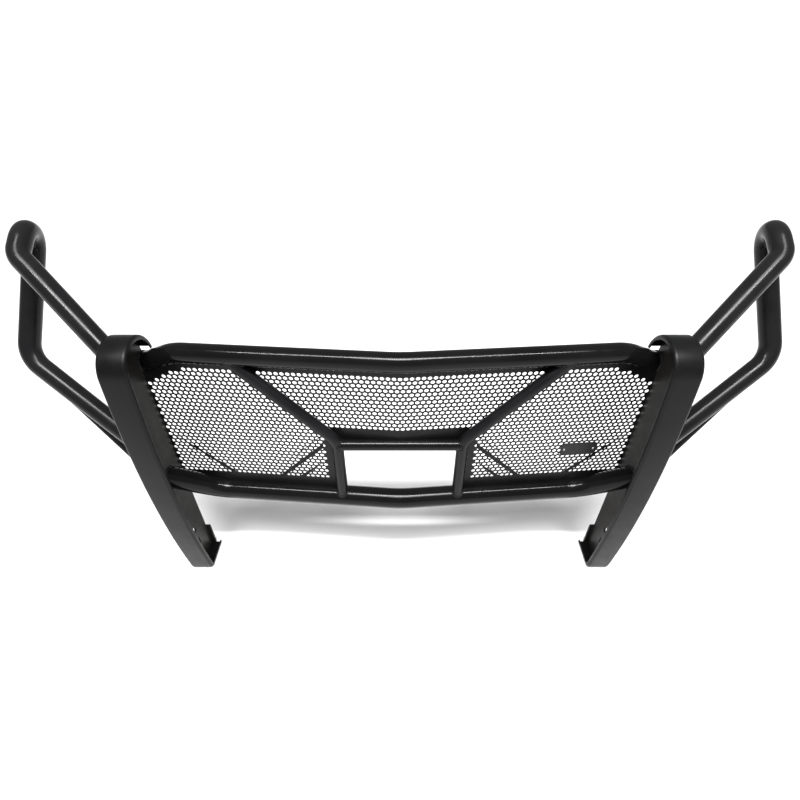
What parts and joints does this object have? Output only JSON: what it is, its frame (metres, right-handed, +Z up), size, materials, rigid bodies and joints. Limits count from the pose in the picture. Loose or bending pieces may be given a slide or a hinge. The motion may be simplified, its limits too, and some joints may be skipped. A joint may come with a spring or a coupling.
{
  "type": "front grille guard",
  "caption": "Welded tube and punched-sheet guard that bolts to a truck's frame in front of its grille, with a receiver window and swept side wings over the headlights.",
  "frame": {"origin": "centre of the footprint of the whole guard, on the plane its two feet stand on", "axes": "+X along the guard's width, to the right as seen from in front of the truck; +Y towards the truck; +Z up"},
  "size_m": [1.9832, 0.3693, 1.0455],
  "materials": {
    "tube_black": "semi-gloss black powder coat",
    "strap_black": "satin black powder coat",
    "web_black": "gloss black powder coat",
    "sheet_black": "satin black powder coat",
    "badge_black": "satin black",
    "rivet_metal": "plain"
  },
  "bodies": {
    "root": {"top_tube": "tube_black", "bottom_tube": "tube_black", "crossbar_tube": "tube_black", "left_diagonal_tube": "tube_black", "right_diagonal_tube": "tube_black", "punch_plate": "sheet_black", "left_upright_strap": "strap_black", "right_upright_strap": "strap_black", "left_upright_web": "web_black", "right_upright_web": "web_black", "left_foot_plate": "strap_black", "right_foot_plate": "strap_black", "left_mount_tab": "web_black", "right_mount_tab": "web_black", "left_wing_tube": "tube_black", "right_wing_tube": "tube_black", "left_wing_brace": "tube_black", "right_wing_brace": "tube_black", "badge_plate": "badge_black", "badge_rivets": "rivet_metal"}
  },
  "joints": []
}
